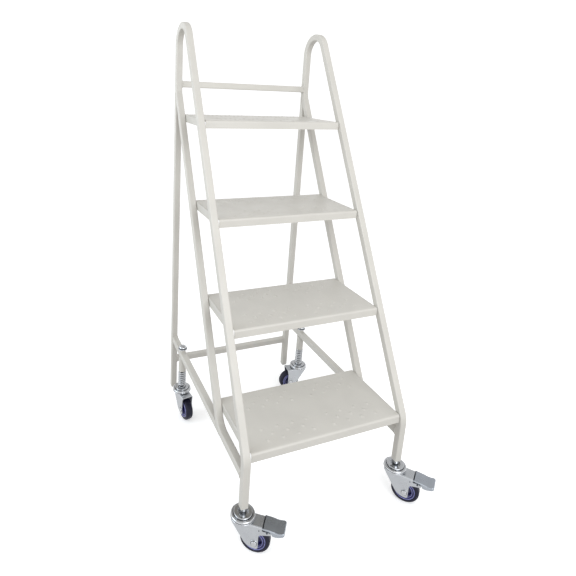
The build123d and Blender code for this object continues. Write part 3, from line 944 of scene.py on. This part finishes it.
class BuildLegs(bpy.types.Operator):
    """Rear legs with their plugs, base rails and cross bars."""
    bl_idname = "ladder.legs"
    bl_label = "Legs and bars"

    def execute(self, context):
        tubes, _ = tube_places()
        section = tube_section(tubes.tube, tubes.tube_corner)
        foot = tube_section(tubes.tube, tubes.foot_corner)
        drawing = ladder_drawing()
        arc = np.linspace(np.pi / 2, 0, 6)
        low = tubes.foot_gap + tubes.foot_round
        rows = list(zip(tubes.foot_round * (1 - np.cos(arc)), low - tubes.foot_round * np.sin(arc)))
        rows.append((0, tubes.foot_height))
        tubing = {"rear_leg": leg_shape(tubes), "base_rail": base_rail_shape(tubes)}
        for side, sign in SIDES:
            x = sign * tubes.side_x
            for node, shape in tubing.items():
                piece(f"{node}_tube_{side}", [moved(shape, (x, 0, 0))], drawing, "frame", "coat",
                      [f"{node}_{side}"])
            plug = moved(skin(stamped(foot, rows)), (x, tubes.post_y, 0))
            piece(f"rear_foot_plug_{side}", [plug], drawing, "frame", "foot", [f"rear_foot_{side}"])
        half = tubes.inner_width / 2
        for name, height in (("upper", tubes.upper_bar), ("lower", tubes.lower_bar)):
            rings = straight((-half, tubes.post_y, height), (half, tubes.post_y, height), section,
                             (0, 1, 0))
            piece(f"{name}_bar_tube", [skin(rings)], drawing, "frame", "coat",
                  [f"{name}_cross_bar"])
        return {"FINISHED"}


class BuildWelds(bpy.types.Operator):
    """Weld beads round the joints of the tubes."""
    bl_idname = "ladder.welds"
    bl_label = "Welds"

    def execute(self, context):
        tubes, _ = tube_places()
        section = tube_section(tubes.tube, tubes.tube_corner)
        for side, sign in SIDES:
            x = sign * tubes.side_x
            inside = x - sign * tubes.half
            joints = (
                ((x, tubes.leg_y + tubes.half, tubes.base_z), (1, 0, 0)),
                ((x, tubes.post_setback, tubes.base_z), (1, 0, 0)),
                ((inside, tubes.post_y, tubes.upper_bar), (0, 1, 0)),
                ((inside, tubes.post_y, tubes.lower_bar), (0, 1, 0)),
            )
            shapes = [weld_shape(section, place, across, tubes) for place, across in joints]
            piece(f"weld_beads_{side}", shapes, ladder_drawing(), "frame", "coat", crease=80)
        return {"FINISHED"}


class BuildSteps(bpy.types.Operator):
    """Pressed steps with their dimples."""
    bl_idname = "ladder.steps"
    bl_label = "Steps"

    def execute(self, context):
        tubes, steps = tube_places()
        shapes = step_shape(steps, tubes.inner_width - 2 * steps.gap)
        for index in range(steps.count):
            place = (0, index * steps.run, steps.first + index * steps.rise)
            piece(f"step_pan_{index + 1}", [moved(shape, place) for shape in shapes],
                  ladder_drawing(), "frame", "coat", [f"step_{index + 1}"], crease=40)
        return {"FINISHED"}


class BuildSprings(bpy.types.Operator):
    """Guides, coil springs, sliding rods and domed nuts of the rear casters."""
    bl_idname = "ladder.springs"
    bl_label = "Springs"

    def execute(self, context):
        tubes, _ = tube_places()
        sizes = millimetres(context.scene.ladder_springs)
        seat, wire, flange = sizes.seat, sizes.wire, sizes.washer_height
        skirt, shade_band_proud = flange + sizes.nut_skirt, 0.6
        arc = np.linspace(0, np.pi / 2, 14)
        dome = np.stack([sizes.nut * np.cos(arc),
                         skirt + (sizes.nut_height - skirt) * np.sin(arc)], -1)
        nut = [lathed([(sizes.rod, 0), (sizes.washer, 0), (sizes.washer, flange),
                       (sizes.nut - 1, flange)], [0, 0.6, 0.9, 0]),
               lathed(np.concatenate([[(sizes.nut, skirt - 0.5)], dome]))]
        # Dark band round the nut's skirt: painted shade of its lower rim.
        band = drum(sizes.nut + shade_band_proud, flange - 0.5, skirt + shade_band_proud, (0, 0.8), 25)
        for side, _ in SIDES:
            drawing = caster_drawing(f"rear_{side}")
            # The caster's own drawing starts lower than the ladder's.
            rail_top = tubes.base_top - (ladder_drawing().inverted() @ drawing.translation).z
            boss_top = rail_top + sizes.boss_height
            rail_low = rail_top - tubes.tube
            low = rail_low - sizes.sleeve
            wall, bored, sunk, stub = sizes.rod + 0.1, 8, 1, 4
            tube = lathed([(wall, low + bored), (wall, low), (sizes.sleeve_radius, low),
                           (sizes.sleeve_radius, rail_low)], [0, 0.6, 0.9, 0], 30)
            boss = drum(sizes.boss, rail_top - sunk, boss_top, (0, 0.7), 30)
            rings = coiled(sizes.spring - wire / 2, wire, low - seat - wire, sizes.turns)
            parts = (
                ("spring_guide", [tube, boss], "coat", "spring_sleeve", 35),
                ("coil_spring", [moved(skin(rings), (0, 0, seat + wire / 2))], "spring", "spring",
                 60),
                # The rod's dark finish is painted shade inside the spring.
                ("sliding_rod", [drum(sizes.rod, seat - sunk, boss_top + stub, steps=40)], "rod",
                 "caster_stem_rear", 35),
                ("domed_nut", [moved(shape, (0, 0, boss_top)) for shape in nut], "bright",
                 "cap_nut", 35),
                ("nut_band", [moved(band, (0, 0, boss_top))], "rod", "cap_nut", 35),
            )
            for name, shapes, look, node, crease in parts:
                piece(f"{name}_{side}", shapes, drawing, "frame", look, [f"{node}_{side}"],
                      crease=crease)
        return {"FINISHED"}


class BuildCasters(bpy.types.Operator):
    """Stems, dishes and forks of the casters."""
    bl_idname = "ladder.casters"
    bl_label = "Casters"

    def execute(self, context):
        sizes = millimetres(context.scene.ladder_casters)
        springs = millimetres(context.scene.ladder_springs)
        for name in CASTERS:
            drawing, fork = caster_drawing(name), [f"fork_{name}"]
            brake = name in FRONT_CASTERS
            ends = (sizes.collar, sizes.height) if brake else (springs.seat_radius, springs.seat)
            piece(f"swivel_stem_{name}", [skin(turned(stem_outline(sizes, *ends), 72))], drawing,
                  "frame", "bright", [f"caster_stem_{name}"])
            piece(f"pressed_fork_{name}", [fork_shape(sizes, brake)], drawing, f"swivel_{name}",
                  "zinc", fork, bevel=0.45)
            piece(f"swivel_dish_{name}", [lathed_ring(dish_outline(sizes))], drawing,
                  f"swivel_{name}", "bright", fork)
        return {"FINISHED"}


# Side view of a brake shoe over its wheel, as reach and height, and half its width.
SHOE = ((51, 79), (58, 75), (74, 75), (74, 83), (51, 85.5))
SHOE_HALF = 15


class BuildPedals(bpy.types.Operator):
    """Brake pedals of the front casters, with their shoes and pins."""
    bl_idname = "ladder.pedals"
    bl_label = "Pedals"

    def execute(self, context):
        sizes = millimetres(context.scene.ladder_casters)
        pedal = millimetres(context.scene.ladder_pedals)
        lying = Matrix.Rotation(math.pi / 2, 4, "X")
        shoe = skin(extruded(rounded(SHOE, 1, 30, closed=True), (-SHOE_HALF, SHOE_HALF)))
        plate = [pedal_shape(sizes, pedal)] + [lug_shape(sizes, pedal, side) for _, side in SIDES]
        pins = []
        for reach, drop, radius, proud in (
                (pedal.pin_reach, pedal.pin_drop, pedal.pin, pedal.pin_head),
                (pedal.spring_reach, pedal.spring_drop, pedal.spring_pin, 0.3)):
            end = fork_side(sizes) + proud
            place = Matrix.Translation((reach, 0, sizes.crown - drop)) @ lying
            pins.append(moved(drum(radius, -end, end, (proud / 2, proud / 2), 25, 28), place))
        for name in FRONT_CASTERS:
            drawing, body, node = caster_drawing(name), f"swivel_{name}", [f"brake_pedal_{name}"]
            piece(f"brake_shoe_{name}", [shoe], drawing, body, "tyre", node)
            # The pedal finish is darker than the zinc: painted shade of what the treads mirror.
            piece(f"pressed_pedal_{name}", plate, drawing, body, "pedal", node, crease=50)
            # The pins' dark finish is painted shade of their holes.
            piece(f"pedal_pins_{name}", pins, drawing, body, "rod", node)
        return {"FINISHED"}


# Inner radius, outer radius and half width of the two raised rings on a wheel centre, coloured pale
# as painted highlight on their edges.
HIGHLIGHT_RINGS = ((19.3, 20.7, 11.9), (25.4, 26.9, 12.3))


class BuildWheels(bpy.types.Operator):
    """Tyres, wheel centres and wheel bolts."""
    bl_idname = "ladder.wheels"
    bl_label = "Wheels"

    def execute(self, context):
        sizes = millimetres(context.scene.ladder_casters)
        half, inside, outer = sizes.width / 2, sizes.tyre_inside, fork_side(sizes)
        tyre = rounded([(inside, 0), (inside, half - 0.6), (inside + 1, half),
                        (sizes.wheel, half), (sizes.wheel, 0)],
                       [0, 0.4, 0.6, sizes.tread_round, 0], 10)
        # The centre's boss about the bolt, its thin web, and its rim inside the tyre.
        bore, boss, boss_end, web, web_edge, rim_end = 4.1, 10, 15.5, 20, 4, 10.5
        rim = inside - 0.05
        centre = rounded([
            (bore, 0), (bore, boss_end), (boss, boss_end), (boss, web_edge + 1), (web, web_edge),
            (web + 1.5, rim_end), (rim - 1.4, rim_end), (rim, rim_end - 0.7), (rim, 0)],
            [0, 0.4, 0.8, 1.5, 1.5, 1, 0.6, 0.6, 0], 18)
        lines = [rounded([(low, 5), (low, top), (high, top), (high, 5)], [0, 0.6, 0.6, 0], 30,
                         closed=True) * (1, side)
                 for low, high, top in HIGHLIGHT_RINGS for _, side in SIDES]
        flip = Matrix.Rotation(math.pi, 4, "X")
        head = bolt_head(sizes.bolt, sizes.bolt_head, outer)
        shank = 4
        bolt = [drum(shank, -outer, outer, steps=32), head, moved(head, flip)]
        # Thin dark rings round the bolt heads' caps: painted shade at the step of each head.
        cap, low, high = sizes.bolt * BOLT_CAP, outer + 0.2, outer + 1.5
        edge = cap + 1.1
        shade_ring = lathed_ring([(cap, low), (edge, low), (edge, high), (cap, high)], 48)
        for name in CASTERS:
            drawing, body = wheel_drawing(name), f"wheel_{name}"
            piece(f"tyre_tread_{name}", [lathed_ring(both_sides(tyre), 96)], drawing, body, "tyre",
                  [f"tyre_{name}"])
            piece(f"wheel_centre_{name}", [lathed_ring(both_sides(centre))], drawing, body,
                  "centre", [f"hub_{name}"])
            # The raised rings' pale finish is painted highlight.
            rings = [lathed_ring(line) for line in lines]
            piece(f"wheel_line_{name}", rings, drawing, body, "ring")
            piece(f"wheel_bolt_{name}", bolt, drawing, f"swivel_{name}", "bright", [f"axle_{name}"])
            piece(f"bolt_seams_{name}", [shade_ring, moved(shade_ring, flip)], drawing, f"swivel_{name}", "rod")
        return {"FINISHED"}


class BuildStudio(bpy.types.Operator):
    """Pale floor, soft light and the camera."""
    bl_idname = "ladder.studio"
    bl_label = "Studio"

    def execute(self, context):
        scene = context.scene
        studio = scene.ladder_studio
        self.camera(scene, studio)
        self.backdrop(studio)
        self.surroundings(scene, studio)
        self.light("front", (0.1, -2.8, 1.5), (0, 0, 0.7), 1.8, studio.front, (0.94, 0.97, 1))
        self.light("left", (-2.8, 0.3, 1.3), (0, 0, 0.7), 1.8, studio.left, (0.82, 0.92, 1))
        self.light("above", (-0.2, -1.3, 1.8), (0, 0.1, 1.0), 0.9, studio.above)
        scene.view_settings.view_transform = "Standard"
        return {"FINISHED"}

    def backdrop(self, studio):
        """White paper sweep, which shows and takes the shadows, and the ground of the undersides.

        The undersides see a grey ground instead of the paper, as dark as a floor under a ladder.
        """
        reach, height, bend, half = 9, 14, 3, 16
        line = rounded([(-reach, 0), (reach, 0), (reach, height)], [0, bend, 0], 6)
        rings = np.array([[(x, y, z) for x in (half, -half)] for y, z in line])
        faces = [(2 * i, 2 * i + 1, 2 * i + 3, 2 * i + 2) for i in range(len(line) - 1)]
        paper = self.sheet("studio_sweep", rings.reshape(-1, 3).tolist(), faces, 0.98, 0.3)
        side, drop = 1.1, -0.02
        square = [(-side, -side, drop), (side, -side, drop), (side, side, drop),
                  (-side, side, drop)]
        ground = self.sheet("studio_ground", square, [(0, 1, 2, 3)], 0, studio.bounce)
        paper.visible_diffuse = paper.visible_glossy = paper.visible_shadow = False
        ground.visible_camera = ground.visible_glossy = ground.visible_shadow = False

    def surroundings(self, scene, studio):
        """White world. Metal mirrors bright walls between a white floor and a duller ceiling."""
        scene.world = bpy.data.worlds.new("studio_white")
        scene.world.use_nodes = True
        tree = scene.world.node_tree
        sky = tree.nodes["Background"]
        sky.inputs["Color"].default_value = (1, 1, 1, 1)
        rays = add_node(tree, "ShaderNodeLightPath").outputs
        towards = add_node(tree, "ShaderNodeTexCoord").outputs["Generated"]
        rise = add_node(tree, "ShaderNodeSeparateXYZ", {"Vector": towards}).outputs["Z"]
        floor, wall_foot, wall_top = 0.94, (-0.32, -0.12), (0.2, 0.5)
        wall = add_ramp(tree, rise, wall_foot, (floor, studio.horizon))
        fall = add_ramp(tree, rise, wall_top, (1.0, studio.ceiling / studio.horizon))
        mirrored = add_node(tree, "ShaderNodeMath", operation="MULTIPLY")
        tree.links.new(wall, mirrored.inputs[0])
        tree.links.new(fall, mirrored.inputs[1])
        soft = add_node(tree, "ShaderNodeMix", {
            "Factor": rays["Is Glossy Ray"], "A": studio.world, "B": mirrored.outputs["Value"]})
        seen = add_node(tree, "ShaderNodeMix", {
            "Factor": rays["Is Camera Ray"], "A": soft.outputs["Result"], "B": 1.0})
        tree.links.new(seen.outputs["Result"], sky.inputs["Strength"])

    def sheet(self, name, points, faces, shade, glow):
        """Matt sheet of the studio in a shade of grey, with an even glow."""
        mesh = bpy.data.meshes.new(name)
        mesh.from_pydata(points, [], faces)
        paint = bpy.data.materials.new(name)
        paint.use_nodes = True
        surface = paint.node_tree.nodes["Principled BSDF"]
        for socket, value in (
                ("Base Color", (shade, shade, shade, 1)), ("Roughness", 1),
                ("Specular IOR Level", 0), ("Emission Color", (1, 1, 1, 1)),
                ("Emission Strength", glow)):
            surface.inputs[socket].default_value = value
        mesh.materials.append(paint)
        made = bpy.data.objects.new(name, mesh)
        bpy.context.scene.collection.objects.link(made)
        return made

    def camera(self, scene, studio):
        """Camera at the photo's place on the ladder's drawing, turned by yaw, pitch and roll."""
        ahead = Vector((math.sin(studio.yaw), math.cos(studio.yaw), 0))
        right = Vector((math.cos(studio.yaw), -math.sin(studio.yaw), 0))
        view = ahead * math.cos(studio.pitch) + Vector((0, 0, math.sin(studio.pitch)))
        up = right.cross(view)
        rolled_right = right * math.cos(studio.roll) + up * math.sin(studio.roll)
        rolled_up = up * math.cos(studio.roll) - right * math.sin(studio.roll)
        turn = Matrix((rolled_right, rolled_up, -view)).transposed()
        drawing = ladder_drawing()
        lens = bpy.data.cameras.new("photo_camera")
        lens.sensor_width = 36
        lens.lens = studio.lens
        lens.shift_x, lens.shift_y = studio.shift_x, studio.shift_y
        eye = bpy.data.objects.new("photo_camera", lens)
        scene.collection.objects.link(eye)
        rotation = drawing.to_quaternion().to_matrix() @ turn
        eye.matrix_world = Matrix.LocRotScale(drawing @ (Vector(studio.eye) / MM), rotation, None)
        scene.camera = eye

    def light(self, name, place, aim, size, power, shade=(1, 1, 1)):
        """Square soft light at a place, aimed at a point."""
        lamp = bpy.data.lights.new(name, "AREA")
        lamp.shape = "SQUARE"
        lamp.size = size
        lamp.energy = power
        lamp.color = shade
        made = bpy.data.objects.new(name, lamp)
        bpy.context.scene.collection.objects.link(made)
        made.location = place
        made.rotation_euler = (Vector(aim) - Vector(place)).to_track_quat("-Z", "Y").to_euler()


OPERATORS = (BuildSideLoops, BuildLegs, BuildWelds, BuildSteps, BuildSprings, BuildCasters,
             BuildPedals, BuildWheels, BuildStudio)


class LadderPanel(bpy.types.Panel):
    """Buttons for the parts of the ladder."""
    bl_idname = "VIEW3D_PT_ladder"
    bl_label = "Mobile platform ladder"
    bl_space_type = "VIEW_3D"
    bl_region_type = "UI"
    bl_category = "Ladder"

    def draw(self, context):
        for operator in OPERATORS:
            self.layout.operator(operator.bl_idname)


GROUPS = {
    "ladder_frame": LadderFrameSizes, "ladder_steps": LadderStepSizes,
    "ladder_casters": LadderCasterSizes, "ladder_springs": LadderSpringSizes,
    "ladder_pedals": LadderPedalSizes, "ladder_finish": LadderFinish, "ladder_studio": LadderStudio,
}


def register():
    """Register the settings, the operators and the panel."""
    for name, group in GROUPS.items():
        bpy.utils.register_class(group)
        setattr(bpy.types.Scene, name, bpy.props.PointerProperty(type=group))
    for operator in OPERATORS:
        bpy.utils.register_class(operator)
    bpy.utils.register_class(LadderPanel)


def unregister():
    """Take the panel, the operators and the settings out again."""
    bpy.utils.unregister_class(LadderPanel)
    for operator in reversed(OPERATORS):
        bpy.utils.unregister_class(operator)
    for name, group in reversed(GROUPS.items()):
        delattr(bpy.types.Scene, name)
        bpy.utils.unregister_class(group)


def main():
    """Build the whole ladder in its studio."""
    register()
    bpy.ops.ladder.side_loops()
    bpy.ops.ladder.legs()
    bpy.ops.ladder.welds()
    bpy.ops.ladder.steps()
    bpy.ops.ladder.springs()
    bpy.ops.ladder.casters()
    bpy.ops.ladder.pedals()
    bpy.ops.ladder.wheels()
    bpy.ops.ladder.studio()


if __name__ == "__main__":
    main()
